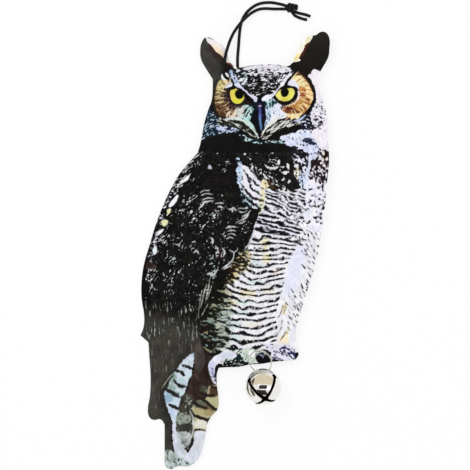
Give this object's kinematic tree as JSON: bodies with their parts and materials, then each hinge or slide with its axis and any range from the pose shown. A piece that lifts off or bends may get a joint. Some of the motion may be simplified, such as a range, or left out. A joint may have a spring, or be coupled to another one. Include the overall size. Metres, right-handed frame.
{
  "type": "hanging owl bird scarer",
  "caption": "Flat die-cut owl board, printed on both faces, with an elastic hanging loop at the ear and a round slotted bell on a wire ring at the feet",
  "frame": {"origin": "middle of the bounding box without the cord, on the surface that the part lies on", "axes": "+Y runs from the tail to the ears, +Z out of the front print, +X to the right of the picture"},
  "size_m": [0.1821, 0.4499, 0.035],
  "materials": {
    "board_plastic": "white plastic sheet, seen at the cut edge",
    "front_film": "glossy printed film with a picture of an owl",
    "back_film": "glossy printed film with a picture of an owl",
    "cord_black": "black braided sleeve over an elastic core",
    "wire_metal": "plain bright steel wire",
    "bell_metal": "nickel plate, mirror bright"
  },
  "bodies": {
    "board": {"core_board": "board_plastic", "front_print": "front_film", "back_print": "back_film"},
    "cord": {"hanging_cord": "cord_black", "cord_knot": "cord_black", "cord_end_front": "cord_black", "cord_end_back": "cord_black"},
    "ring": {"bell_ring": "wire_metal"},
    "bell": {"bell_shell": "bell_metal", "bell_eye": "wire_metal"},
    "ball": {"bell_ball": "bell_metal"}
  },
  "joints": [
    {"name": "cord_swing", "type": "hinge", "parent": "board", "child": "cord", "pos_m": [-0.00964, 0.16716, 0.00417], "axis": [-0.042, 0, 0.9991], "range_deg": [-15, 15]},
    {"name": "ring_swing", "type": "hinge", "parent": "board", "child": "ring", "pos_m": [0.01619, -0.09891, 0.00526], "axis": [-0.042, 0, 0.9991], "range_deg": [-36, 12]},
    {"name": "bell_swing", "type": "hinge", "parent": "ring", "child": "bell", "pos_m": [0.02457, -0.11737, 0.00205], "axis": [-0.9827, -0.1848, -0.0138], "range_deg": [-75, 30]},
    {"name": "ball_roll", "type": "slide", "parent": "bell", "child": "ball", "axis": [0, 0, 1], "range_m": [0, 0.026]}
  ]
}
